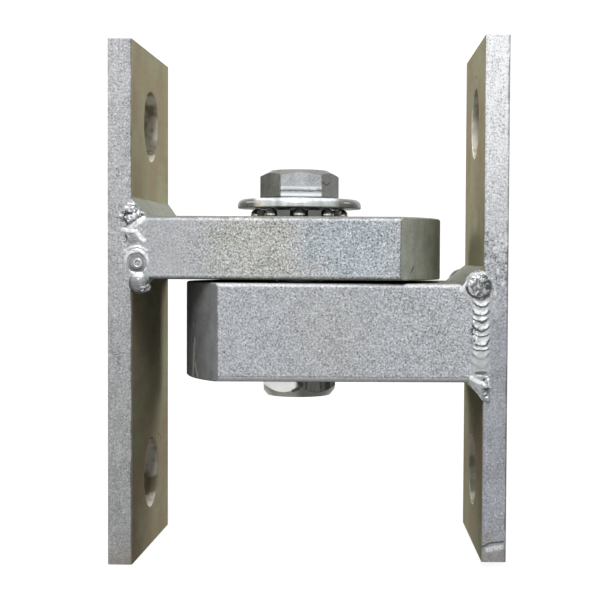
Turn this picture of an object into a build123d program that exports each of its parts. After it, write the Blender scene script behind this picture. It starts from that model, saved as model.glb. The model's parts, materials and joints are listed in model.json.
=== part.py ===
from build123d import *
import math
import os

# Adjustable bolt-on hinge: a post leaf and a gate leaf, each a drilled plate with a solid arm
# welded to it. The arms overlap on one upright bolt. The bolt head rests on the upper arm
# through a flat washer and a caged ball thrust bearing, and its thread holds the lower arm,
# so turning the bolt lifts or lowers the gate leaf. A thin nut underneath locks it.
#
# Millimetres. The origin is the middle of the post plate's mounting face, +X runs out
# through the arms to the gate leaf, +Z is up along the bolt.

os.makedirs("parts", exist_ok=True)

# Plates of both leaves
plate_height = 203.2
plate_width = 76.2
plate_thickness = 9.525
plate_edge_radius = 1.0
hole_diameter = 28.6
hole_spacing = 143.2
hole_edge_break = 0.4

# Arms: as wide as the plates, with a rolled bar's soft long edges and an arc-cut nose
upper_arm_thickness = 24.5
lower_arm_thickness = 38.1
arm_edge_radius = 1.9
nose_radius = 54.0
nose_edge_break = 0.5
post_reach = 61.5
gate_reach = 72.2
upper_tip_reach = 58.0
lower_tip_reach = 46.0
upper_arm_rise = 21.65
lower_arm_drop = 12.95
arm_gap = 1.2
rest_swing = 3.0

# Bolt, washer and lock nut, three-quarter inch sizes
bolt_diameter = 19.05
bolt_length = 80.0
plain_shank_length = 31.0
thread_relief = 0.05
bolt_end_chamfer = 1.6
hex_flats = 28.0
head_height = 11.9
head_face_height = 0.6
head_face_share = 0.95
head_chamfer_angle = 28.0
head_ring_share = 0.82
bolt_clocking = 7.5
washer_diameter = 50.8
washer_hole_diameter = 20.6
washer_thickness = 3.76
washer_edge_radius = 0.9
nut_flats = 29.0
nut_height = 8.5
nut_chamfer_angle = 51.0
nut_ring_share = 0.9
nut_clocking = 34.4
running_clearance = 0.08
thread_clearance = 0.06

# Thrust bearing, sunk in the upper arm's top face
ball_count = 9
ball_diameter = 5.556
ball_pitch_radius = 17.4
ball_clocking = 34.3
rolling_clearance = 0.06
groove_depth = 1.3
groove_slack = 0.4
race_thickness = 2.4
race_rim = 0.3
race_sink = 0.3
race_seat_clearance = 0.15
pocket_clearance = 0.9
cage_wall = 0.8
cage_web_height = 3.1
cage_web_reach = 1.0
cage_clearance = 0.25

# Weld runs: fillets above and below each arm, a rippled bead over each flush seam
post_fillet_leg = 6.5
gate_fillet_leg = 8.5
fillet_crown = 0.5
bead_half_width = 4.8
bead_rise = 2.2
ripple_pitch = 2.6
post_bead_above_arm = 2.5
post_bead_below_top = 20.5
gate_bead_above_arm = 1.5
gate_bead_below_top = 27.0

# Heights, worked out from the sizes above
upper_arm_bottom = upper_arm_rise - upper_arm_thickness / 2
upper_arm_top = upper_arm_bottom + upper_arm_thickness
lower_arm_top = upper_arm_bottom - arm_gap
lower_arm_bottom = lower_arm_top - lower_arm_thickness
gate_plate_middle = (lower_arm_top + lower_arm_bottom) / 2 + lower_arm_drop
ball_radius = ball_diameter / 2
race_top = upper_arm_top - race_sink
race_bottom = race_top - race_thickness
ball_level = race_top - groove_depth + rolling_clearance + ball_radius
washer_bottom = ball_level + ball_radius + rolling_clearance
washer_top = washer_bottom + washer_thickness
bolt_end = washer_top - bolt_length
thread_top = washer_top - plain_shank_length

# Frames on the bolt axis. Each leaf's x runs from its plate towards its arm's nose.
bolt_x = plate_thickness + post_reach
swing = math.radians(rest_swing)
axis_frame = Plane(origin=(bolt_x, 0, 0), x_dir=(1, 0, 0), z_dir=(0, 0, 1))
axis_section = Plane(origin=(bolt_x, 0, 0), x_dir=(1, 0, 0), z_dir=(0, -1, 0))
bolt_axis = Axis((bolt_x, 0, 0), (0, 0, 1))
post_frame = axis_frame
gate_frame = Plane(
    origin=(bolt_x, 0, 0),
    x_dir=(-math.cos(swing), -math.sin(swing), 0),
    z_dir=(0, 0, 1),
)
bolt_radius = bolt_diameter / 2
bore_radius = bolt_radius + running_clearance
tapped_radius = bolt_radius + thread_clearance
pocket_radius = ball_radius + pocket_clearance
cage_inner_radius = ball_pitch_radius - pocket_radius - cage_wall
cage_outer_radius = ball_pitch_radius + cage_web_reach
race_inner_radius = cage_inner_radius
race_outer_radius = ball_pitch_radius + ball_radius + race_rim
race_seat_radius = race_outer_radius + race_seat_clearance


def finish(builder, name):
    """Labels a finished piece and writes it under the same name."""
    builder.part.label = name
    export_step(builder.part, f"parts/{name}.step")


def leaf_plane(frame, x, z, normal, y=0.0):
    """A plane at a point of a leaf's frame, its normal and x axis given in that frame."""
    directions = {
        "out": (-frame.x_dir, frame.y_dir),
        "front": (-frame.y_dir, frame.x_dir),
        "back": (frame.y_dir, frame.x_dir),
    }
    normal_dir, across = directions[normal]
    return Plane(origin=frame.from_local_coords(Vector(x, y, z)), x_dir=across, z_dir=normal_dir)


def leaf_plate(name, frame, reach, middle):
    """A drilled plate whose inner face stands at the given reach from the bolt axis."""
    inner_face = leaf_plane(frame, -reach, middle, "out")
    with BuildPart() as plate:
        with BuildSketch(inner_face):
            Rectangle(plate_width, plate_height)
            with GridLocations(0, hole_spacing, 1, 2):
                Circle(hole_diameter / 2, mode=Mode.SUBTRACT)
        extrude(amount=plate_thickness)
        fillet(plate.edges().filter_by(Axis.Z), plate_edge_radius)
        chamfer(plate.edges().filter_by(GeomType.CIRCLE).filter_by(is_hole_edge), hole_edge_break)
    finish(plate, name)


def is_hole_edge(edge):
    """True for the rims of the plate holes, not for the small arcs of the rounded edges."""
    return edge.radius > plate_thickness


def arm_block(name, frame, reach, tip_reach, bottom, thickness, hole_radius, seat_depth=0):
    """A solid bar from the plate's inner face to its arc nose, bored on the bolt axis."""
    half = plate_width / 2
    nose_middle = tip_reach - nose_radius
    corner = nose_middle + math.sqrt(nose_radius**2 - half**2)
    with BuildPart() as block:
        with BuildSketch(frame.offset(bottom)):
            with BuildLine():
                Polyline((corner, -half), (-reach, -half), (-reach, half), (corner, half))
                ThreePointArc((corner, half), (tip_reach, 0), (corner, -half))
            make_face()
        extrude(amount=thickness)
        nose = block.faces().filter_by(GeomType.CYLINDER)
        chamfer(nose.edges().filter_by(GeomType.CIRCLE), nose_edge_break)
        fillet(block.edges().filter_by(Axis((0, 0, 0), tuple(frame.x_dir))), arm_edge_radius)
        with BuildSketch(frame.offset(bottom)):
            Circle(hole_radius)
        extrude(amount=thickness, mode=Mode.SUBTRACT)
        if seat_depth:
            with BuildSketch(frame.offset(bottom + thickness)):
                Circle(race_seat_radius)
            extrude(amount=-seat_depth, mode=Mode.SUBTRACT)
    finish(block, name)


def fillet_run(name, frame, reach, level, side, leg):
    """A weld fillet across the corner between a plate and the top or underside of its arm."""
    corner = leaf_plane(frame, -reach, level, "front" if side == "top" else "back")
    crown = leg / 2 + fillet_crown / math.sqrt(2)
    with BuildPart() as run:
        with BuildSketch(corner):
            with BuildLine():
                Polyline((0, leg), (0, 0), (leg, 0))
                ThreePointArc((leg, 0), (crown, crown), (0, leg))
            make_face()
        extrude(amount=plate_width / 2, both=True)
    finish(run, name)


def seam_bead(name, frame, reach, top, length, side):
    """A rippled weld bead standing out over the flush seam, built up of overlapping beads."""
    bead_radius = (bead_half_width**2 + bead_rise**2) / (2 * bead_rise)
    depth = bead_radius - bead_rise
    sign = -1 if side == "front" else 1
    face_y = sign * plate_width / 2
    face = leaf_plane(frame, -reach, top, side, face_y)
    steps = round(length / ripple_pitch)
    centres = [
        frame.from_local_coords(Vector(-reach, face_y - sign * depth, top - i * ripple_pitch))
        for i in range(steps + 1)
    ]
    with BuildPart() as bead:
        with Locations(*centres):
            Sphere(bead_radius)
        split(bisect_by=face, keep=Keep.TOP)
    finish(bead, name)


# Post leaf: plate, upper arm with the seat for the bearing race, and its welds
leaf_plate("post_plate", post_frame, post_reach, 0)

arm_block(
    "upper_arm",
    post_frame,
    post_reach,
    upper_tip_reach,
    upper_arm_bottom,
    upper_arm_thickness,
    bore_radius,
    seat_depth=upper_arm_top - race_bottom,
)

fillet_run("post_weld_top", post_frame, post_reach, upper_arm_top, "top", post_fillet_leg)
fillet_run("post_weld_bottom", post_frame, post_reach, upper_arm_bottom, "bottom", post_fillet_leg)
for side in ("front", "back"):
    seam_bead(
        f"post_weld_{side}",
        post_frame,
        post_reach,
        upper_arm_top + post_bead_above_arm,
        post_bead_above_arm + post_bead_below_top,
        side,
    )

# Gate leaf: plate, tapped lower arm and its welds
leaf_plate("gate_plate", gate_frame, gate_reach, gate_plate_middle)

arm_block(
    "lower_arm",
    gate_frame,
    gate_reach,
    lower_tip_reach,
    lower_arm_bottom,
    lower_arm_thickness,
    tapped_radius,
)

fillet_run("gate_weld_top", gate_frame, gate_reach, lower_arm_top, "top", gate_fillet_leg)
fillet_run("gate_weld_bottom", gate_frame, gate_reach, lower_arm_bottom, "bottom", gate_fillet_leg)
for side in ("front", "back"):
    seam_bead(
        f"gate_weld_{side}",
        gate_frame,
        gate_reach,
        lower_arm_top + gate_bead_above_arm,
        gate_bead_above_arm + gate_bead_below_top,
        side,
    )


def hexagon(frame, flats, seat, crown, clocking, ring_share, chamfer_angle):
    """A hexagonal prism from its flat seat to its crown, where a cone turns its corners back."""
    corner = flats / math.sqrt(3)
    ring = flats / 2 * ring_share
    drop = math.copysign((corner - ring) * math.tan(math.radians(chamfer_angle)), crown - seat)
    turned = [(0, seat), (corner, seat), (corner, crown - drop), (ring, crown), (0, crown)]
    with BuildPart() as prism:
        with BuildSketch(frame.offset(seat)):
            RegularPolygon(flats / 2, 6, major_radius=False, rotation=clocking)
        extrude(amount=crown - seat)
        with BuildSketch(axis_section):
            with BuildLine():
                Polyline(*turned, close=True)
            make_face()
        revolve(axis=bolt_axis, mode=Mode.INTERSECT)
    return prism.part


# Hex bolt, head up
head_bottom = washer_top + head_face_height
head = hexagon(
    axis_frame,
    hex_flats,
    head_bottom,
    washer_top + head_height,
    bolt_clocking,
    head_ring_share,
    head_chamfer_angle,
)
with BuildPart() as hinge_bolt:
    add(head)
    with BuildSketch(axis_frame.offset(washer_top)):
        Circle(hex_flats / 2 * head_face_share)
    extrude(amount=head_face_height)
    with BuildSketch(axis_frame.offset(thread_top)):
        Circle(bolt_radius)
    extrude(amount=plain_shank_length)
    with BuildSketch(axis_frame.offset(bolt_end)):
        Circle(bolt_radius - thread_relief)
    extrude(amount=thread_top - bolt_end)
    chamfer(hinge_bolt.faces().sort_by(Axis.Z)[0].edges(), bolt_end_chamfer)
finish(hinge_bolt, "hinge_bolt")

# Flat washer, also the bearing's upper track
with BuildPart() as flat_washer:
    with BuildSketch(axis_frame.offset(washer_bottom)):
        Circle(washer_diameter / 2)
        Circle(washer_hole_diameter / 2, mode=Mode.SUBTRACT)
    extrude(amount=washer_thickness)
    fillet(flat_washer.faces().sort_by(Axis.Z)[-1].outer_wire().edges(), washer_edge_radius)
finish(flat_washer, "flat_washer")

# Lock nut under the lower arm, deeply chamfered on its lower face
nut_bottom = lower_arm_bottom - nut_height
nut_blank = hexagon(
    gate_frame,
    nut_flats,
    lower_arm_bottom,
    nut_bottom,
    nut_clocking,
    nut_ring_share,
    nut_chamfer_angle,
)
with BuildPart() as jam_nut:
    add(nut_blank)
    with BuildSketch(gate_frame.offset(nut_bottom)):
        Circle(tapped_radius)
    extrude(amount=nut_height, mode=Mode.SUBTRACT)
finish(jam_nut, "jam_nut")

# Lower race: a ring with a rolled track, lying in its seat in the upper arm
groove_radius = ball_radius + groove_slack
with BuildPart() as bearing_race:
    with BuildSketch(axis_section):
        with BuildLine():
            Polyline(
                (race_inner_radius, race_bottom),
                (race_outer_radius, race_bottom),
                (race_outer_radius, race_top),
                (race_inner_radius, race_top),
                close=True,
            )
        make_face()
        with Locations((ball_pitch_radius, race_top - groove_depth + groove_radius)):
            Circle(groove_radius, mode=Mode.SUBTRACT)
    revolve(axis=bolt_axis)
finish(bearing_race, "bearing_race")

# Ball cage: webs round an inner ring, between pockets that are open to the outside
web_bottom = race_top + cage_clearance
with BuildPart() as ball_cage:
    with BuildSketch(axis_frame.offset(web_bottom)):
        Circle(cage_outer_radius)
        Circle(cage_inner_radius, mode=Mode.SUBTRACT)
        with PolarLocations(ball_pitch_radius, ball_count, start_angle=ball_clocking):
            Circle(pocket_radius, mode=Mode.SUBTRACT)
    extrude(amount=cage_web_height)
finish(ball_cage, "ball_cage")

# Balls, each in its pocket on the pitch circle
for i in range(ball_count):
    turn = math.radians(ball_clocking + i * 360 / ball_count)
    ball_centre = Vector(math.cos(turn), math.sin(turn), 0) * ball_pitch_radius
    with BuildPart() as ball:
        with Locations(Vector(bolt_x, 0, ball_level) + ball_centre):
            Sphere(ball_radius)
    finish(ball, f"ball_{i + 1:02d}")
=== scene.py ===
# %% [markdown]
# An adjustable bolt-on hinge, dressed for rendering
#
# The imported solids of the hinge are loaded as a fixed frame: two drilled plates, two welded arms,
# a bolt with its washer, thrust bearing and lock nut. This lesson gives each of them its finish,
# and replaces the plain weld beads and the washer with pieces that have their finer form.

# %% Load the frame
import json
import math

import bpy
from mathutils import Matrix, Vector


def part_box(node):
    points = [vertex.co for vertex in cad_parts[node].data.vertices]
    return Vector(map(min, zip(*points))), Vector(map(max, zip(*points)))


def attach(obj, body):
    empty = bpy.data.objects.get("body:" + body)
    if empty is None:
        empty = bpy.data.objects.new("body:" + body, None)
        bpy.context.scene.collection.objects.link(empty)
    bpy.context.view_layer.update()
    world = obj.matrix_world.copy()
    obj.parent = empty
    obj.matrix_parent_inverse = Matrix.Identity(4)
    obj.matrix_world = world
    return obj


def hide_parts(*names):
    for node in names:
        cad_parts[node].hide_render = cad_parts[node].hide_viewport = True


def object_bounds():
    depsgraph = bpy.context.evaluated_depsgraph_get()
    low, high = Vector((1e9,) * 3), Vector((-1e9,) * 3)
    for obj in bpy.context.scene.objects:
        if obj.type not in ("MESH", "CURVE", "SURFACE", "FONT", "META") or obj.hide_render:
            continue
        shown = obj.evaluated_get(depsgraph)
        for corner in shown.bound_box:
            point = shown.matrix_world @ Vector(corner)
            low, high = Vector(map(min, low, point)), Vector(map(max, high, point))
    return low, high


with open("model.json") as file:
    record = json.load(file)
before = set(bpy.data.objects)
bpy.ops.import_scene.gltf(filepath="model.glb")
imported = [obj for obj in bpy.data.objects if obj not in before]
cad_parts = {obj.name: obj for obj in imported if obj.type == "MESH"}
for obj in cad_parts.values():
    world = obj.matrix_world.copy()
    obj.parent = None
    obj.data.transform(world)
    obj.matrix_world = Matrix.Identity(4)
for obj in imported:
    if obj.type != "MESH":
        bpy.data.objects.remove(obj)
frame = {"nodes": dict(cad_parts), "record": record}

cad_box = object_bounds()
scene = bpy.context.scene

# %% [markdown]
# Measures from the frame
#
# The main measures of this script come from the solids. The frame is in metres, and the welds and
# finishes are worked out in millimetres, because their detail is a few tenths of one. The gate
# leaf rests a few degrees off straight, so its measures are taken in its own turned frame.

# %% Read the measures
MM = 0.001
SIDE_SKIN = 0.05


def node_points(node, leaf_frame):
    """The points of a node in a leaf's own frame, in millimetres."""
    back = leaf_frame.inverted()
    return [back @ v.co / MM for v in frame["nodes"][node].data.vertices]


def leaf_box(node, leaf_frame):
    """The lowest and highest corners of a node in a leaf's own frame, in millimetres."""
    points = node_points(node, leaf_frame)
    low = Vector([min(p[i] for p in points) for i in range(3)])
    high = Vector([max(p[i] for p in points) for i in range(3)])
    return low, high


washer_low, washer_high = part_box("flat_washer")
bolt_place = Matrix.Translation(((washer_low.x + washer_high.x) / 2, 0, 0))
mounts = {m["name"]: m for m in frame["record"]["mounts"]}
gate_axis = mounts["gate_face"]["axis"]
rest_swing = math.atan2(gate_axis[1], gate_axis[0])
print(f"bolt axis at x = {bolt_place.translation.x / MM:.2f} mm")
print(f"rest swing {math.degrees(rest_swing):.1f} degrees")


class Leaf:
    """One leaf in its own frame: x runs from its plate towards the arm's nose, z is up."""

    def __init__(self, name, turn):
        self.name = name
        self.body = name + "_leaf"
        arm = "upper_arm" if name == "post" else "lower_arm"
        self.frame = bolt_place @ Matrix.Rotation(turn, 4, "Z")
        plate_low, plate_high = leaf_box(name + "_plate", self.frame)
        arm_low, arm_high = leaf_box(arm, self.frame)
        self.mounting_x = plate_low.x
        self.inner_x = plate_high.x
        self.plate_bottom, self.plate_top = plate_low.z, plate_high.z
        self.half_width = arm_high.y
        self.tip_x = arm_high.x
        self.arm_bottom, self.arm_top = arm_low.z, arm_high.z
        # The nose is an arc between the arm's two corners, and its radius follows from its depth.
        side = [p.x for p in node_points(arm, self.frame) if p.y > self.half_width - SIDE_SKIN]
        self.corner_x = max(side)
        depth = self.tip_x - self.corner_x
        self.nose_radius = (depth**2 + self.half_width**2) / (2 * depth)
        # The camera's side of a leaf is y below zero on the post leaf, and above it on the gate's.
        self.front = -1 if abs(turn) < math.pi / 2 else 1


post = Leaf("post", 0)
gate = Leaf("gate", rest_swing + math.pi)
for leaf in (post, gate):
    print(leaf.name, "arm from z =", round(leaf.arm_bottom, 2), "to", round(leaf.arm_top, 2), "mm")

# %% [markdown]
# Node trees written as sums
#
# A finish is mostly arithmetic on patterns, and a weld's form is arithmetic on a flat grid. Wiring
# Math nodes by hand hides that, so a small class stands for an output socket: adding or
# multiplying two of them adds the node. One method of a second class adds every other node.


# %% Sockets with arithmetic
def maths(operation, swapped=False):
    """A method for wires, which adds one Math node for each value it is given."""

    def method(wire, *others):
        for other in others or (0,):
            values = (other, wire) if swapped else (wire, other)
            wire = wire.board.add("ShaderNodeMath", dict(enumerate(values)), operation=operation)
        return wire

    return method


class Wire:
    """An output socket of a node tree. Arithmetic on it adds Math nodes and gives new wires."""

    __add__ = maths("ADD")
    __radd__ = maths("ADD", swapped=True)
    __sub__ = maths("SUBTRACT")
    __rsub__ = maths("SUBTRACT", swapped=True)
    __mul__ = maths("MULTIPLY")
    __truediv__ = maths("DIVIDE")
    __pow__ = maths("POWER")
    __abs__ = maths("ABSOLUTE")
    fraction = maths("FRACT")
    at_least = maths("MAXIMUM")
    at_most = maths("MINIMUM")
    above = maths("GREATER_THAN")
    below = maths("LESS_THAN")

    def __init__(self, socket):
        self.socket = socket

    @property
    def board(self):
        return Board(self.socket.id_data)

    def sway(self, amount):
        """A noise from 0 to 1, turned into a swing of the given amount about 0."""
        return (self - 0.5) * amount


class Board:
    """A node tree, with one method that adds any node, sets it up and wires its inputs."""

    def __init__(self, tree):
        self.tree = tree

    def add(self, kind, inputs=None, output=0, **settings):
        """Adds a node and gives the wire of one output, or of all of them when output is None."""
        node = self.tree.nodes.new(kind)
        for name, value in settings.items():
            setattr(node, name, value)
        for key, value in (inputs or {}).items():
            for part in value if isinstance(value, list) else [value]:
                if isinstance(part, Wire):
                    self.tree.links.new(part.socket, node.inputs[key])
                else:
                    node.inputs[key].default_value = part
        if output is None:
            return [Wire(socket) for socket in node.outputs if socket.enabled]
        return Wire(node.outputs[output]) if node.outputs else None


def ease(value, start, end):
    """A smooth step: 0 before start, 1 after end. Start may be above end, to step down."""
    sockets = {"Value": value, "From Min": start, "From Max": end}
    if start > end:
        sockets.update({"From Min": end, "From Max": start, "To Min": 1, "To Max": 0})
    return value.board.add("ShaderNodeMapRange", sockets, interpolation_type="SMOOTHSTEP")


def noise(place, size, detail=3, roughness=0.5, warp=0):
    """Noise whose patches are about size millimetres wide, for places in millimetres."""
    sockets = {"Vector": place, "Scale": 1 / size, "Detail": detail}
    sockets.update({"Roughness": roughness, "Distortion": warp})
    return place.board.add("ShaderNodeTexNoise", sockets)


def cells(place, size, output):
    """Scattered cells about size millimetres wide: their distance, or a colour for each."""
    return place.board.add("ShaderNodeTexVoronoi", {"Vector": place, "Scale": 1 / size}, output)


def stretched(place, factors):
    """The place scaled by a factor for each axis, which draws a pattern out along an axis."""
    return place.board.add("ShaderNodeVectorMath", {0: place, 1: factors}, operation="MULTIPLY")


def join(x, y, z):
    """A vector wire from its parts, of which z is a wire."""
    return z.board.add("ShaderNodeCombineXYZ", {"X": x, "Y": y, "Z": z})


def parts_of(place):
    """The x, y and z of a vector wire."""
    return place.board.add("ShaderNodeSeparateXYZ", {"Vector": place}, output=None)


print("node helpers ready")

# %% [markdown]
# Shapes for masks
#
# Marks and welds are both drawn with a few shapes on two coordinates. Each is a number that is
# above 0 inside the shape, and easing it gives a soft mask. They take any two coordinates, so the
# same stroke serves for a scratch on a face and for a ridge on a weld.


# %% Ovals, strokes and rings
def oval(u, v, middle_u, middle_v, half_u, half_v):
    """1 at the middle of an oval and 0 on its rim."""
    return 1 - ((u - middle_u) / half_u) ** 2 - ((v - middle_v) / half_v) ** 2


def run_between(u, v, middle_u, low, high, radius):
    """1 along an upright line from low to high, and 0 at the given distance from it."""
    past = (v - high).at_least(low - v, 0)
    return 1 - ((u - middle_u) / radius) ** 2 - (past / radius) ** 2


def distance(u, v, middle_u, middle_v):
    """How far a point is from a middle."""
    return ((u - middle_u) ** 2 + (v - middle_v) ** 2) ** 0.5


def stroke(u, v, start, end, half):
    """1 along a short straight stroke, fading to 0 at the given distance."""
    du, dv = end[0] - start[0], end[1] - start[1]
    along = ((u - start[0]) * du + (v - start[1]) * dv) / (du * du + dv * dv)
    along = along.at_least(0).at_most(1)
    return ease(distance(u, v, along * du + start[0], along * dv + start[1]), half, half * 0.3)


def strokes(u, v, rows):
    """Several strokes as one mask. Each row is a stroke's start, its end and its half width."""
    first, *others = [stroke(u, v, *row) for row in rows]
    return first.at_least(*others)


def bow(reach, radius, half):
    """1 on a ring of the given radius, fading to 0 at half a thickness from it."""
    return ease(abs(reach - radius), half, half * 0.2)


print("shapes ready")

# %% [markdown]
# Colours in layers
#
# A finish starts from one tone and lays others over it, each through a mask. Colours are written
# as the 0 to 255 values that a picture shows, and one function turns them into Blender's values.


# %% Colours and layers
def colour(red, green, blue):
    """A colour given by the 0 to 255 values that a picture shows, as Blender's linear values."""
    parts = [c / 255 for c in (red, green, blue)]
    return (*[c / 12.92 if c <= 0.04045 else ((c + 0.055) / 1.055) ** 2.4 for c in parts], 1)


def blend(share, first, second):
    """Mixes two colours by a share from 0 to 1."""
    sockets = {0: share, 6: first, 7: second}
    return share.board.add("ShaderNodeMix", sockets, output=2, data_type="RGBA", clamp_factor=True)


def layered(base, *layers):
    """A colour with others laid over it in turn, each given as its share and its tone."""
    for share, tone in layers:
        base = blend(share, base, colour(*tone))
    return base


def scaled_colour(base, factor):
    """A colour made lighter or darker by a factor."""
    base = base if isinstance(base, Wire) else base[:3]
    sockets = {0: base, "Scale": factor}
    return factor.board.add("ShaderNodeVectorMath", sockets, operation="SCALE")


# A painted highlight: the near-white laid on small cells of the grain as glints of a lamp.
PAINTED_GLINT = (240, 243, 245)
print("layers ready")

# %% [markdown]
# The zinc finish
#
# The hinge is hot-dip zinc: metal, but dull, with a grain of fine pits that sparkle where they
# face a lamp. The functions here are the parts that the finishes share: coordinates on a leaf, the
# grain and the bump of the dipped surface, and the shader.


# %% The shared zinc finish
def new_finish(name):
    """An empty material, with its board."""
    material = bpy.data.materials.new(name)
    material.use_nodes = True
    material.node_tree.nodes.clear()
    return material, Board(material.node_tree)


def leaf_finish(name, leaf):
    """An empty material, and the object coordinates in millimetres in a leaf's own frame."""
    material, board = new_finish(name)
    place = board.add("ShaderNodeTexCoord", output=3)
    sockets = {0: place, "Scale": 1 / MM}
    scaled = board.add("ShaderNodeVectorMath", sockets, operation="SCALE")
    back = leaf.frame.inverted()
    sockets = {"Vector": scaled, "Location": back.translation / MM, "Rotation": back.to_euler()}
    return material, board.add("ShaderNodeMapping", sockets, vector_type="POINT")


def dress(node, material):
    """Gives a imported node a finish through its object's own material slot."""
    piece = frame["nodes"][node]
    while len(piece.material_slots) < 1:
        piece.data.materials.append(None)
    for slot in piece.material_slots:
        slot.link = "OBJECT"
        slot.material = material


def coarse_grain(place):
    """The crystals of the thick coat on the bars."""
    return noise(place, 0.75, detail=4, roughness=0.8, warp=0.5)


def glint_cells(place, size, share):
    """Scattered small cells for painted glints: 1 on the given share of them, else 0."""
    tint = parts_of(cells(place, size, 1))[0]
    return ease(tint, 1 - share, 1 - share * 0.6)


def uneven(height, strength, depth):
    """A bump from a height, whose full range is depth millimetres."""
    sockets = {"Strength": strength, "Distance": depth * MM, "Height": height}
    return height.board.add("ShaderNodeBump", sockets)


def pitted(place):
    """The dipped surface's bump: a fine grain, soft waves under it and scattered pits."""
    fine = noise(place, 0.6, detail=4, roughness=0.7, warp=0.6)
    waves = noise(place, 3.2, detail=2)
    pits = ease(cells(place, 1.7, 0), 0.05, 0.3)
    return uneven(fine * 0.9 + waves * 0.5 + pits * 0.5, 0.9, 0.2)


def metal(base, roughness, normal, metallic, matt=False):
    """The principled shader of a zinc or steel surface."""
    sockets = {"Base Color": base, "Roughness": roughness, "Metallic": metallic, "Normal": normal}
    if matt:
        sockets["Specular IOR Level"] = 0
    return normal.board.add("ShaderNodeBsdfPrincipled", sockets)


def mixed(share, first, second):
    """Two shaders mixed by a mask."""
    return share.board.add("ShaderNodeMixShader", {0: share, 1: first, 2: second})


def show(shader):
    """Wires a shader to the material's surface."""
    shader.board.add("ShaderNodeOutputMaterial", {"Surface": shader})


print("zinc finish ready")

# %% [markdown]
# The plates
#
# The plates are cut from flat bar. Their broad faces are smooth and reflect a dull olive, and the
# narrow sawn edges are rough and bright. A mask on the leaf's own x tells the two apart. Light from
# above is painted on the rough edges: lighter towards the top and darker towards the lower end, and
# the gate leaf's upper edge is the brightest. They are also browner and darker at the foot.

# %% Finish of the plates
OLIVE_WARM = colour(184, 170, 144)
OLIVE_GREEN = colour(188, 186, 156)
FACE_SKIN = 0.12
HOLE_RADIUS = 14.3
HOLE_SPACING = 143.2
# A painted highlight beside a notch and the notch's dark cut, near the lower end of one edge,
# in distance from the inner face and z.
NOTCH_LIT = [((2.4, -94.6), (7.6, -93.6), 1.5)]
NOTCH_LINES = [((0.3, -93.5), (3.2, -92), 0.5), ((3.2, -92), (8.4, -91.5), 0.5)]


def sawn_edge(leaf, place, clouds, grain, low, high, top_light_from, rim, spatter):
    """The colour of a plate's narrow edges, from the low tone at the foot to the high one: painted
    light.
    """
    x, _, z = parts_of(place)
    # Painted light from above: the edge's tone climbs from the low tone to the high one.
    top_light = ease(z, top_light_from, leaf.plate_top - 6)
    streaks = noise(stretched(place, (1, 1, 0.12)), 1.4)
    by_weld = abs(z - leaf.arm_top - 4) + clouds.sway(20)
    by_weld = ease(by_weld, 22, 8) * spatter
    blobs = noise(place, 1.5, warp=0.4)
    shade = clouds.sway(0.4) + (grain - 0.5) * (3 + top_light * 0.8) + streaks.sway(0.5)
    shade = shade + blobs.sway(by_weld) * 1.6 + 1
    edge = scaled_colour(blend(top_light, colour(*low), colour(*high)), shade)
    foot = leaf.plate_bottom
    # Browner and darker towards the foot.
    darker_foot = ease(z + clouds.sway(14), foot + 13, foot + 3)
    rim_x, half = rim
    # A dark line along one corner of the edge.
    marking = ease(abs(x - rim_x) + clouds.sway(half) * 2, half, half * 0.3)
    return layered(
        edge,
        (by_weld * ease(blobs, 0.58, 0.66) * 0.8, (250, 251, 252)),
        (by_weld * ease(blobs, 0.4, 0.33) * 0.7, (80, 82, 84)),
        # Painted glints on the grain.
        (glint_cells(place, 0.5, 0.04) * 0.4, PAINTED_GLINT),
        (darker_foot * 0.5, (140, 130, 116)),
        (marking * 0.75, (66, 64, 60)),
    )


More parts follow.
